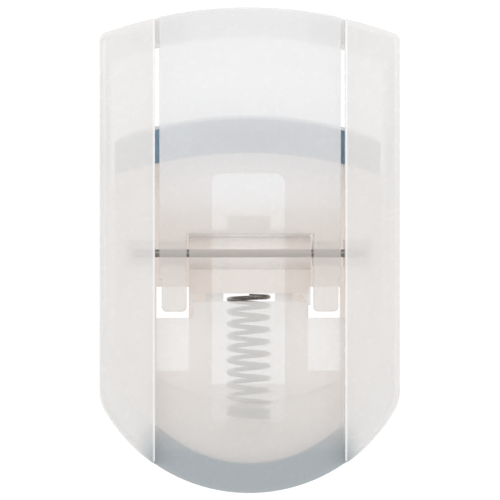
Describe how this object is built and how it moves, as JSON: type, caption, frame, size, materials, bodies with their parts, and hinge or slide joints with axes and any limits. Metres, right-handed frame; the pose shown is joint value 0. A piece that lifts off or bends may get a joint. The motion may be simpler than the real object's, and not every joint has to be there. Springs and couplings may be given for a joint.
{
  "type": "eyelash curler",
  "caption": "Flat folding pocket eyelash curler: a swing-out lever cover slides a padded lower jaw up to a fixed clear upper jaw, and a coil spring opens it.",
  "frame": {"origin": "middle of the flat back at the object's base, where it lies on a table", "axes": "+X to the right along the jaws, +Y from the rounded end towards the jaws, +Z out of the back towards the lever cover"},
  "size_m": [0.038, 0.0614, 0.013],
  "materials": {
    "frosted_plastic": "frosted translucent white plastic with a moulded gloss",
    "lever_plastic": "frosted translucent white plastic with a moulded gloss",
    "carriage_plastic": "frosted translucent white plastic",
    "clear_plastic": "clear polished plastic",
    "jaw_steel": "satin stainless strip",
    "silicone": "clear soft silicone",
    "pin_steel": "drawn steel pin",
    "spring_steel": "bright spring wire"
  },
  "bodies": {
    "case": {"front_shell": "frosted_plastic", "rear_frame": "frosted_plastic", "upper_jaw": "clear_plastic", "hinge_pin": "pin_steel", "return_spring": "spring_steel"},
    "lever": {"lever_cover": "lever_plastic"},
    "carriage_slider": {"carriage": "carriage_plastic", "lower_jaw": "jaw_steel", "silicone_pad": "silicone"}
  },
  "joints": [
    {"name": "lever_hinge", "type": "hinge", "parent": "case", "child": "lever", "pos_m": [0, -0.00032, 0.0106], "axis": [1, 0, 0], "range_deg": [0, 115]},
    {"name": "carriage_slide", "type": "slide", "parent": "case", "child": "carriage_slider", "axis": [0, 1, 0], "range_m": [0, 0.006], "stiffness_N_per_m": 60, "springref_m": -0.001, "deforming": ["return_spring"]}
  ],
  "couplings": [
    {"joint": "lever_hinge", "follows": "carriage_slide", "rad_per_m": 334.52}
  ]
}
